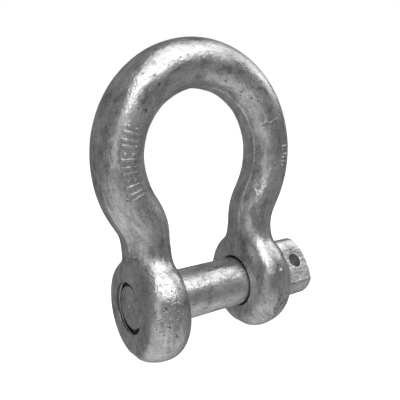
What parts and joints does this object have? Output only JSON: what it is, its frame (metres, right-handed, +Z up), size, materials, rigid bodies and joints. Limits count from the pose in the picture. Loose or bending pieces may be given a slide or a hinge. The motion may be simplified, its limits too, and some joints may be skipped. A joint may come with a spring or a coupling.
{
  "type": "bow shackle",
  "caption": "Heavy screw-pin bow shackle: a round galvanised bow with two thick ears, closed by a removable threaded pin that has a flatted head with an eye",
  "frame": {"origin": "on the pin's axis, midway between the ears", "axes": "+X along the pin towards its head, +Z up to the crown of the bow, +Y across the plane of the bow"},
  "size_m": [0.2455, 0.1066, 0.3067],
  "materials": {
    "bow": "hot-dip galvanised forging, mottled satin grey",
    "pin": "galvanised forging, slightly lighter and grainier than the bow"
  },
  "bodies": {
    "bow": {"bow_body": "bow"},
    "pin": {"screw_pin": "pin"}
  },
  "joints": [
    {"name": "pin_withdrawal", "type": "slide", "parent": "bow", "child": "pin", "axis": [1, 0, 0], "range_m": [0, 0.18]}
  ]
}
